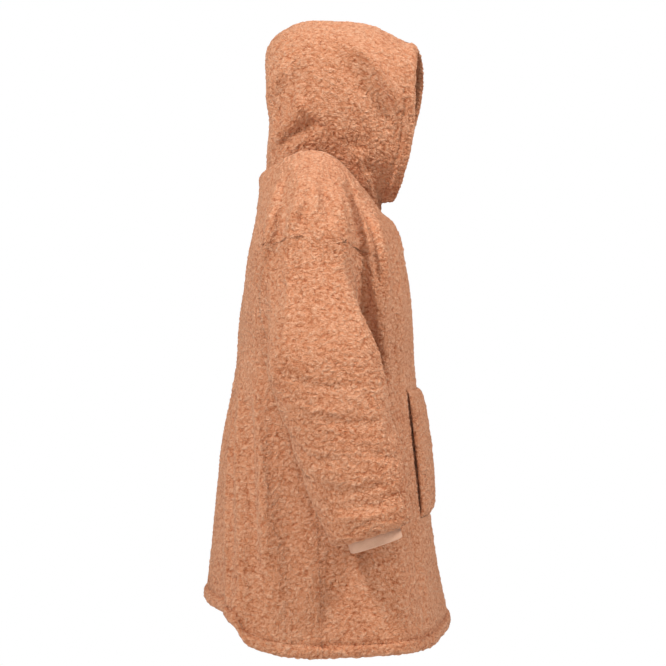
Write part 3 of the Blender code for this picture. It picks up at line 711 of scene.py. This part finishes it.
def cloth_shell(name, outer, outer_rows, inner, rows, columns, closed, openness, turned_over, materials):
    """A closed shell of a fine outer grid and a coarser inner grid, joined along their edges.

    outer_rows gives each outer row's place, rows and columns the inner grid's places.
    """
    count = outer.shape[0] * outer.shape[1]
    fine = wrapped(np.arange(count).reshape(outer.shape[:2]), closed)
    coarse_count = inner.shape[0] * inner.shape[1]
    coarse = wrapped(np.arange(coarse_count).reshape(inner.shape[:2]) + count, closed)
    fine_columns = np.arange(fine.shape[1])
    columns = np.r_[columns, fine.shape[1] - 1] if closed else columns
    outer_quads = grid_quads(fine)
    inner_quads = grid_quads(coarse)[:, ::-1]
    triangles = bridge(fine[0], fine_columns, coarse[0], columns)
    triangles += [t[::-1] for t in bridge(fine[-1], fine_columns, coarse[-1], columns)]
    if not closed:
        triangles += bridge(fine[:, -1], outer_rows, coarse[:, -1], rows)
        triangles += [t[::-1] for t in bridge(fine[:, 0], outer_rows, coarse[:, 0], rows)]
    quads = np.concatenate([outer_quads, inner_quads])
    triangles = np.array(triangles)
    if turned_over:
        quads = quads[:, ::-1]
        triangles = triangles[:, ::-1]
    vertices = np.concatenate([outer.reshape(-1, 3), inner.reshape(-1, 3)])
    mesh = new_mesh(name, vertices, quads, triangles)
    slots = np.zeros(len(quads) + len(triangles), np.int32)
    slots[len(outer_quads) : len(quads)] = 1
    for material in materials:
        mesh.materials.append(material)
    mesh.polygons.foreach_set("material_index", slots)
    values = np.concatenate([openness.reshape(-1), np.full(coarse_count, FLAT_OPENNESS)])
    attribute = mesh.attributes.new("openness", "FLOAT", "POINT")
    attribute.data.foreach_set("value", values.astype(np.float32))
    mesh.shade_smooth()
    thing = bpy.data.objects.new(name, mesh)
    bpy.context.scene.collection.objects.link(thing)
    return thing


def rolled_edge(middle, out, distance, bulge, facing):
    """Rows that turn round a hem's fold, from the stitching inside to the outer face's rows.

    Returns the rows, the distance of each from the fold, and the numbers of the two
    rows of the panel between which they lie.
    """
    central = distance[:, distance.shape[1] // 2]
    start = int(np.searchsorted(central, HEM_RADIUS))
    inside = int(np.searchsorted(central, facing))
    within = middle - out * (0.5 * WALL + bulge)[..., None]
    down = middle[0] - middle[start]
    turn = np.linspace(-math.pi / 2, math.pi / 2, ROLL_ROWS)[:, None, None]
    rolled = middle[start] + out[start] * HEM_RADIUS * np.sin(turn) + down * np.cos(turn)
    rows = np.concatenate([within[inside:start:-1], rolled])
    reach = np.concatenate([distance[inside:start:-1], np.zeros((ROLL_ROWS, middle.shape[1]))])
    return rows, reach, start, inside


def blended(one, other, share):
    share = ease(share)[..., None]
    return unit(one * (1 - share) + other * share)


def crease_line(surface, crease):
    """Points along a crease, on a smooth curve through its three places."""
    share = np.linspace(0, 1, CREASE_STEPS)
    one, two, three = 2 * (share - 0.5) * (share - 1), 4 * share * (1 - share), 2 * share * (share - 0.5)
    a = crease.a1 * one + crease.a2 * two + crease.a3 * three
    b = crease.b1 * one + crease.b2 * two + crease.b3 * three
    return surface(a, b), share


def creased(face, creases, surface):
    """How far the creases push a grid of points out: each fades towards both its ends."""
    push = np.zeros(face.shape[:2])
    for crease in creases:
        line, share = crease_line(surface, crease)
        width = crease.width / 1000
        near = np.all((face > line.min(axis=0) - 3 * width) & (face < line.max(axis=0) + 3 * width), axis=-1)
        if not near.any():
            continue
        place = face[near]
        best = np.full(len(place), 9.0)
        at = np.zeros(len(place))
        for start, end, low, high in zip(line[:-1], line[1:], share[:-1], share[1:]):
            run = end - start
            along = np.clip((place - start) @ run / (run @ run), 0, 1)
            gap = np.linalg.norm(place - start - along[:, None] * run, axis=-1)
            closer = gap < best
            best = np.where(closer, gap, best)
            at = np.where(closer, low + (high - low) * along, at)
        fade = 1 - np.abs(2 * at - 1) ** 3
        push[near] += crease.height / 1000 * fade * np.exp(-((best / width) ** 2))
    return push


def from_armholes(face):
    """Distance of each point from the nearer armhole seam."""
    nearest = np.full(face.shape[:-1], 9.0)
    for side in (-1, 1):
        for turn in np.linspace(0, 2 * math.pi, ARMHOLE_SAMPLES, endpoint=False):
            gap = np.linalg.norm(face - armhole_edge(side, turn), axis=-1)
            nearest = np.minimum(nearest, gap)
    return nearest


def lowest_near(push, reach):
    """The lowest push within reach grid points of each point."""
    for axis in (0, 1):
        shifts = range(-reach, reach + 1)
        push = np.min([np.roll(push, shift, axis) for shift in shifts], axis=0)
    return push


def sewn_piece(
    name, surface, across, spacing, materials, creases, closed=False, turned_over=False,
    facing=None, seam_out=None, stitch_share=1.0,
):
    """One piece of piled cloth on surface(across, along), with sunk seams.

    along 0 is a hem turned in as far as facing, or a seam if facing is None. seam_out
    gives the normals of the piece that it is sewn to there, under its own pile.
    """
    along, distance = even_rows(surface, across, spacing)
    sign = -1 if turned_over else 1
    face = surface(across[None, :], along)
    plain_out = grid_normals(face, closed) * sign
    if seam_out is not None:
        plain_out = blended(seam_out[None], plain_out, distance / (2 * SEAM_BLEND))
    lines, line_surface = creases
    push = creased(face, lines, line_surface) * ease(from_armholes(face) / ARMHOLE_CALM)
    backing = face + plain_out * lowest_near(push, BACKING_STRIDE + 1)[..., None]
    face = face + plain_out * push[..., None]
    from_seam = edge_distance(face, 0, True)
    if not closed:
        from_seam = np.minimum(from_seam, edge_distance(face, 1, False))
        from_seam = np.minimum(from_seam, edge_distance(face, 1, True))
    if facing is None:
        from_seam = np.minimum(from_seam, distance)
    out = blended(plain_out, grid_normals(face, closed) * sign, from_seam / SEAM_BLEND)
    seam = dip(from_seam, SEAM_WIDTH)
    middle = face - out * 0.5 * WALL
    lining = backing - out * WALL
    first_row = 0
    outer_rows = np.arange(len(face))
    if facing is not None:
        swell = ease((1.02 * HEM_DEPTH - distance) / (0.3 * HEM_DEPTH))
        bulge = (HEM_RADIUS - 0.5 * WALL) * swell
        roll, reach, start, first_row = rolled_edge(middle, out, distance, bulge, facing)
        face = np.concatenate([roll, (face + out * bulge[..., None])[start + 1 :]])
        reach = np.concatenate([reach, distance[start + 1 :]])
        nothing = np.zeros((len(roll), len(across)))
        seam = np.concatenate([nothing, seam[start + 1 :]])
        outer_rows = np.r_[np.zeros(len(roll)), np.arange(start + 1, len(middle))]
        outer_rows = np.maximum(outer_rows, first_row)
        upper = out[start + 1 :]
        out = grid_normals(face, closed) * sign
        out[len(roll) + 8 :] = upper[8:]
        stitch = stitch_share * dip(reach - HEM_DEPTH, STITCH_WIDTH)
    else:
        stitch = np.zeros_like(seam)
    rows = np.unique(np.r_[np.arange(first_row, len(middle), BACKING_STRIDE), len(middle) - 1])
    columns = np.arange(0, len(across), BACKING_STRIDE)
    if not closed:
        columns = np.unique(np.r_[columns, len(across) - 1])
    height, openness = pile(face)
    sink = SEAM_SINK * seam + STITCH_SINK * stitch
    moved = face + out * (height * (1 - 0.25 * seam - 0.6 * stitch) - sink)[..., None]
    if seam_out is not None:
        back = unit(face[0] - face[3])
        back = unit(back - np.sum(back * seam_out, axis=-1, keepdims=True) * seam_out)
        moved += out * (ARMHOLE_RISE * dip(distance, SEAM_WIDTH))[..., None]
        moved[0] += ARMHOLE_LAP * back
        moved[1] += 0.4 * ARMHOLE_LAP * back
    if not closed:
        moved[:, 0] += SEAM_LAP * unit(moved[:, 0] - moved[:, 1])
        moved[:, -1] += SEAM_LAP * unit(moved[:, -1] - moved[:, -2])
    # The pile is painted darker along the sunk seams and stitching: painted shade in their grooves.
    openness = openness * (1 - 0.1 * seam - 0.55 * stitch)
    return cloth_shell(
        name, moved, outer_rows, lining[rows][:, columns], rows, columns,
        closed, openness, turned_over, materials,
    )


def hem_step(angle, level):
    """The hem's small rise on the far side of each back fold."""
    around = np.degrees(np.arctan2(np.sin(angle), np.cos(angle)))
    rise = 0.0
    for place, height in HEM_STEPS:
        past = (np.abs(around) - abs(place)) / HEM_STEP_WIDTH
        rise = rise + (np.sign(around) == np.sign(place)) * height * np.tanh(past) * dip(past, 9.0)
    return rise * ease(1 - level / HEM_STEP_LEVELS)


def panel_surface(is_front):
    def surface(across, along):
        level = along * NECK
        middle = (UNDERARM + SHOULDER_TIP) / 2
        from_middle = (level - middle) / ((SHOULDER_TIP - UNDERARM) / 2)
        opening = np.sqrt(np.clip(1 - from_middle**2, 0, 1))
        spread = opening * math.radians(ARMHOLE_FRONT if is_front else ARMHOLE_BACK)
        angle = across * (math.pi / 2 - spread * np.abs(across))
        angle = angle if is_front else angle + math.pi
        place = torso(angle, level)
        return place + points(0, 0, hem_step(angle, level))

    return surface


def hood_surface(side):
    last = len(HOOD) - 1
    return lambda across, along: hood(side, across, (1 - along) * last)


def sleeve_surface(side):
    def surface(across, along):
        share = np.clip(along / (1 - ROLL_SHARE), 0, 1)
        roll = np.clip((along - 1 + ROLL_SHARE) / ROLL_SHARE, 0, 1) * math.radians(ROLL_TURN)
        face = sleeve(side, across, share)
        return np.where((along > 1 - ROLL_SHARE)[..., None], sleeve_roll(side, across, roll), face)

    return surface


def both_sides(creases):
    """The creases, and the same on the wearer's left, a little shifted, wider and weaker."""
    return list(creases) + [
        Crease(
            LEFT_SHIFT - one.a1, one.b1 + LEFT_RISE, LEFT_SHIFT - one.a2, one.b2 - LEFT_RISE,
            -one.a3 - LEFT_SHIFT, one.b3 + LEFT_RISE, one.width * 1.1, one.height * LEFT_STRENGTH,
        )
        for one in creases
    ]


def on_one_side(creases, side, shift):
    """The creases as they are on the right, and a little weaker and shifted on the left."""
    if side < 0:
        return creases
    return [
        crease._replace(height=crease.height * LEFT_STRENGTH, b2=crease.b2 + shift)
        for crease in creases
    ]


def on_torso(angle, level):
    return torso(np.radians(angle), level)


def declare(piece, slot, *nodes):
    """Hide the CAD parts of the nodes that a piece stands for, and attach the piece to the root body. slot
    is not used.
    """
    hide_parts(*nodes)
    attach(piece, "root")


def make_front_and_back(materials):
    across = np.linspace(-1, 1, int(HEM_WIDTH / BODY_SPACING) + 1)
    creases = (both_sides(TORSO_CREASES), on_torso)
    for name, is_front in (("front", True), ("back", False)):
        piece = sewn_piece(
            "sherpa_" + name, panel_surface(is_front), across, BODY_SPACING, materials, creases,
            facing=HEM_FACING,
        )
        declare(piece, "sherpa_fleece", *[name + part for part in PANEL_PARTS])


def make_sleeves(materials):
    columns = int(SLEEVE_GIRTH / SLEEVE_SPACING)
    turn = np.arange(columns) * 2 * math.pi / columns
    for name, side in (("sleeve_right", -1), ("sleeve_left", 1)):
        creases = (
            on_one_side(SLEEVE_CREASES, side, 0.02),
            lambda around, share, side=side: sleeve(side, np.radians(around), share),
        )
        piece = sewn_piece(
            "sherpa_" + name, sleeve_surface(side), turn, SLEEVE_SPACING, materials, creases,
            closed=True, turned_over=side < 0, seam_out=surface_out(torso, *armhole_place(side, turn)),
        )
        declare(piece, "sherpa_fleece", name + "_upper", name + "_lower")


def make_hood(materials):
    share = np.linspace(0, 1, int(HOOD_HALF_GIRTH / HOOD_SPACING) + 1)
    for name, side in (("hood_right", -1), ("hood_left", 1)):
        creases = (
            on_one_side(HOOD_CREASES, side, 0.2),
            lambda place, row, side=side: hood(side, place, row),
        )
        piece = sewn_piece(
            "sherpa_" + name, hood_surface(side), share, HOOD_SPACING, materials, creases,
            turned_over=side > 0, facing=HOOD_FACING, stitch_share=HOOD_STITCH_SHARE,
        )
        declare(piece, "sherpa_fleece", name)


def make_pocket(materials):
    """The pouch pocket stands off the front between its sewn top and bottom."""
    low, high = POCKET_BOTTOM_LEVEL / NECK, POCKET_TOP_LEVEL / NECK
    half = math.radians(POCKET_HALF_ANGLE - 1)

    def surface(across, along):
        level = (low + (high - low) * along) * NECK
        angle = across * half
        puff = POCKET_PUFF + (POCKET_MOUTH_PUFF - POCKET_PUFF) * across**2
        lift = SEWN_GAP + puff * np.clip(np.sin(math.pi * along), 0, 1) ** 0.6 + POCKET_WALL
        ends = np.minimum(along, 1 - along) * POCKET_HEIGHT
        sides = (1 - np.abs(across)) * POCKET_HALF_WIDTH
        for gap, least in ((ends, 0.05), (sides, 0.35)):
            rounded = np.sqrt(1 - (1 - np.clip(gap / POCKET_ROUND, 0, 1)) ** 2)
            lift = lift * (least + (1 - least) * rounded)
        return torso(angle, level) + surface_out(torso, angle, level) * lift[..., None]

    across = np.linspace(-1, 1, int(POCKET_GIRTH / POCKET_SPACING) + 1)
    creases = (both_sides(TORSO_CREASES), on_torso)
    piece = sewn_piece("sherpa_pocket", surface, across, POCKET_SPACING, materials, creases)
    declare(piece, "sherpa_fleece", "pocket")


def make_cuffs(materials):
    """Smooth fine-knit cuffs, whose ribs hardly show."""
    columns = CUFF_RIBS * 6
    turn = np.arange(columns) * 2 * math.pi / columns
    down = np.linspace(0, CUFF_LENGTH, CUFF_ROWS)
    end_round = np.sqrt(1 - (1 - np.clip((CUFF_LENGTH - down) / CUFF_ROUND, 0, 1)) ** 2)[:, None, None]
    rib = CUFF_RIB_HEIGHT * np.cos(turn * CUFF_RIBS)[None, :, None]
    for name, side in (("cuff_right", -1), ("cuff_left", 1)):
        face = cuff(side, turn[None, :], down[:, None])
        out = grid_normals(face, True) * side
        outer = face + out * (rib - CUFF_DRAW * (1 - end_round))
        rows = np.arange(0, CUFF_ROWS, 3)
        places = np.arange(0, columns, 4)
        piece = cloth_shell(
            "knit_" + name, outer, np.arange(CUFF_ROWS), (face - out * CUFF_WALL)[rows][:, places],
            rows, places, True, np.full(outer.shape[:2], FLAT_OPENNESS), side < 0, materials,
        )
        declare(piece, "knit_cuff", name)


def shader_of(name):
    material = bpy.data.materials.new(name)
    material.use_nodes = True
    return material, material.node_tree, material.node_tree.nodes["Principled BSDF"]


def colour_ramp(tree, stops):
    ramp = tree.nodes.new("ShaderNodeValToRGB")
    elements = ramp.color_ramp.elements
    for element, (position, colour) in zip(elements, (stops[0], stops[-1])):
        element.position = position
        element.color = (*colour, 1)
    for position, colour in stops[1:-1]:
        elements.new(position).color = (*colour, 1)
    return ramp


def math_node(tree, operation, one, two=None, clamp=False):
    node = tree.nodes.new("ShaderNodeMath")
    node.operation = operation
    node.use_clamp = clamp
    for socket, value in zip(node.inputs, (one, two)):
        if value is None:
            continue
        if isinstance(value, (int, float)):
            socket.default_value = value
        else:
            tree.links.new(value, socket)
    return node.outputs[0]


def noise_node(tree, vector, scale, detail=1.0, distortion=0.0):
    node = tree.nodes.new("ShaderNodeTexNoise")
    node.inputs["Scale"].default_value = scale
    node.inputs["Detail"].default_value = detail
    node.inputs["Distortion"].default_value = distortion
    tree.links.new(vector, node.inputs["Vector"])
    return node.outputs["Fac"]


def curls(tree, place, scale):
    """Rounded tufts packed side by side, 0 in the narrow gaps between them."""
    cells = tree.nodes.new("ShaderNodeTexVoronoi")
    cells.feature = "F1"
    cells.inputs["Scale"].default_value = scale
    cells.inputs["Randomness"].default_value = 1.0
    tree.links.new(place, cells.inputs["Vector"])
    tuft = math_node(tree, "SUBTRACT", 1.0, cells.outputs["Distance"], clamp=True)
    return math_node(tree, "POWER", tuft, 1.3)


def bent(tree, place, scale, amount):
    """The place moved by smooth noise, so that the tufts curl."""
    wander = tree.nodes.new("ShaderNodeTexNoise")
    wander.inputs["Scale"].default_value = scale
    wander.inputs["Detail"].default_value = 1.0
    tree.links.new(place, wander.inputs["Vector"])
    centred = tree.nodes.new("ShaderNodeVectorMath")
    centred.operation = "SUBTRACT"
    centred.inputs[1].default_value = (0.5, 0.5, 0.5)
    tree.links.new(wander.outputs["Color"], centred.inputs[0])
    moved = tree.nodes.new("ShaderNodeVectorMath")
    moved.operation = "MULTIPLY_ADD"
    moved.inputs[1].default_value = (amount, amount, amount)
    tree.links.new(centred.outputs["Vector"], moved.inputs[0])
    tree.links.new(place, moved.inputs[2])
    return moved.outputs["Vector"]


def set_surface(tree, shader, height, strength, depth, painted_shade_and_tone, colours, values):
    """Relief, colour and constant values of a cloth's shader."""
    bump = tree.nodes.new("ShaderNodeBump")
    bump.inputs["Strength"].default_value = strength
    bump.inputs["Distance"].default_value = depth
    tree.links.new(height, bump.inputs["Height"])
    tree.links.new(bump.outputs["Normal"], shader.inputs["Normal"])
    ramp = colour_ramp(tree, colours)
    tree.links.new(painted_shade_and_tone, ramp.inputs["Fac"])
    tree.links.new(ramp.outputs["Color"], shader.inputs["Base Color"])
    for socket, value in values.items():
        shader.inputs[socket].default_value = value


def weighed(tree, *parts):
    """Sum of (field, weight) pairs."""
    total = None
    for field, weight in parts:
        part = field if weight == 1 else math_node(tree, "MULTIPLY", field, weight)
        total = part if total is None else math_node(tree, "ADD", total, part)
    return total


def sherpa_material():
    """Curly pile: small bent tufts in relief, painted shade darkening the crevices and the gaps between the
    tufts, pale tips, a soft sheen.
    """
    material, tree, shader = shader_of("sherpa_pile")
    grain = tree.nodes.new("ShaderNodeMapping")
    grain.inputs["Scale"].default_value = GRAIN
    tree.links.new(tree.nodes.new("ShaderNodeTexCoord").outputs["Object"], grain.inputs["Vector"])
    place = bent(tree, grain.outputs["Vector"], BEND_SCALE, BEND_REACH)
    curl = curls(tree, place, CURL_SCALE)
    small = curls(tree, place, SMALL_CURL_SCALE)
    fibre = noise_node(tree, place, 700.0, 2.0, 0.4)
    patch = noise_node(tree, place, 9.0, 2.0)
    openness = tree.nodes.new("ShaderNodeAttribute")
    openness.attribute_name = "openness"
    height = weighed(tree, (curl, 1), (small, 0.42), (fibre, 0.25))
    # The ramp's input paints shade: lower where the pile lies closed in a crevice, along sunk seams and
    # stitching, and in the gaps between tufts; the patches add random tone.
    painted_shade_and_tone = weighed(tree, (openness.outputs["Fac"], 0.34), (curl, 0.36), (small, 0.16), (patch, 0.14))
    set_surface(tree, shader, height, 1.0, CURL_RELIEF, painted_shade_and_tone, PILE_COLOURS, PILE_VALUES)
    return material


def knit_material(name, loop_scale, strength, depth, patch_scale, patch_detail, colours, values):
    """A smooth fine knit, with faint loops in relief and soft patches of colour."""
    material, tree, shader = shader_of(name)
    place = tree.nodes.new("ShaderNodeTexCoord").outputs["Object"]
    loops = noise_node(tree, place, loop_scale)
    patch = noise_node(tree, place, patch_scale, patch_detail)
    set_surface(tree, shader, loops, strength, depth, patch, colours, values)
    return material


CAMERA_PLACE = (-3.15, -0.010, -0.336)
CAMERA_LENS = 85.0
CAMERA_SENSOR = 36.0
CAMERA_REACH = 60.0

FLOOR_HEIGHT = -1.45
FLOOR_RADIUS = 9.0
FLOOR_SIDES = 64
AMBIENT_COLOUR = (1.0, 0.87, 0.76, 1)
AMBIENT_STRENGTH = 0.27

LAMP_TARGET = (0, 0, -0.2)

# name, place, size, power, colour
LAMPS = (
    ("key", (-1.7, 1.9, 2.0), 0.6, 98, (1.0, 0.97, 0.92)),
    ("front", (-1.1, -2.4, 1.9), 0.7, 90, (1.0, 0.95, 0.90)),
    ("side", (-2.9, 0.3, 0.4), 1.2, 18, (1.0, 0.97, 0.94)),
)


def make_camera():
    data = bpy.data.cameras.new("camera")
    data.lens = CAMERA_LENS
    data.sensor_width = CAMERA_SENSOR
    data.clip_end = CAMERA_REACH
    camera = bpy.data.objects.new("camera", data)
    camera.location = CAMERA_PLACE
    camera.rotation_euler = (math.pi / 2, 0, -math.pi / 2)
    bpy.context.scene.collection.objects.link(camera)
    bpy.context.scene.camera = camera


def make_light(name, place, size, power, colour):
    data = bpy.data.lights.new(name, "AREA")
    data.shape = "DISK"
    data.size = size
    data.energy = power
    data.color = colour
    light = bpy.data.objects.new(name, data)
    light.location = place
    light.rotation_euler = (Vector(LAMP_TARGET) - Vector(place)).to_track_quat("-Z", "Y").to_euler()
    bpy.context.scene.collection.objects.link(light)


def seen_by_camera(tree, lit, seen, output):
    """Show one shader to the camera, and light the scene with another."""
    mix = tree.nodes.new("ShaderNodeMixShader")
    path = tree.nodes.new("ShaderNodeLightPath")
    tree.links.new(path.outputs["Is Camera Ray"], mix.inputs["Fac"])
    tree.links.new(lit.outputs[0], mix.inputs[1])
    tree.links.new(seen.outputs[0], mix.inputs[2])
    tree.links.new(mix.outputs["Shader"], tree.nodes[output].inputs["Surface"])


def make_floor():
    """A wide white disc of rings about its centre."""
    material, tree, shader = shader_of("studio_white")
    shader.inputs["Base Color"].default_value = (0.92, 0.92, 0.92, 1)
    shader.inputs["Roughness"].default_value = 0.9
    seen_by_camera(tree, shader, tree.nodes.new("ShaderNodeEmission"), "Material Output")
    turns = [2 * math.pi * step / FLOOR_SIDES for step in range(FLOOR_SIDES)]
    vertices = [(0, 0, FLOOR_HEIGHT)]
    for reach in (0.25 * FLOOR_RADIUS, 0.5 * FLOOR_RADIUS, 0.75 * FLOOR_RADIUS, FLOOR_RADIUS):
        vertices += [(reach * math.cos(turn), reach * math.sin(turn), FLOOR_HEIGHT) for turn in turns]
    faces = [(0, 1 + step, 1 + (step + 1) % FLOOR_SIDES) for step in range(FLOOR_SIDES)]
    for start in (1, 1 + FLOOR_SIDES, 1 + 2 * FLOOR_SIDES):
        outer = start + FLOOR_SIDES
        for step in range(FLOOR_SIDES):
            after = (step + 1) % FLOOR_SIDES
            faces.append((start + step, outer + step, outer + after, start + after))
    mesh = bpy.data.meshes.new("studio_floor")
    mesh.from_pydata(vertices, [], faces)
    mesh.materials.append(material)
    floor = bpy.data.objects.new("studio_floor", mesh)
    bpy.context.scene.collection.objects.link(floor)


def make_surroundings():
    """White all round for the camera, and a dim warm light for the garment."""
    world = bpy.data.worlds.new("studio")
    world.use_nodes = True
    tree = world.node_tree
    ambient = tree.nodes["Background"]
    ambient.inputs["Color"].default_value = AMBIENT_COLOUR
    ambient.inputs["Strength"].default_value = AMBIENT_STRENGTH
    seen = tree.nodes.new("ShaderNodeBackground")
    seen.inputs["Color"].default_value = (1, 1, 1, 1)
    seen_by_camera(tree, ambient, seen, "World Output")
    bpy.context.scene.world = world
    bpy.context.scene.view_settings.view_transform = "Standard"


def main():
    sherpa = sherpa_material()
    backing = knit_material(*BACKING)
    knit = knit_material(*CUFF_KNIT)
    make_front_and_back([sherpa, backing])
    make_sleeves([sherpa, backing])
    make_hood([sherpa, backing])
    make_pocket([sherpa, backing])
    make_cuffs([knit, knit])
    make_camera()
    make_floor()
    make_surroundings()
    for lamp in LAMPS:
        make_light(*lamp)


main()
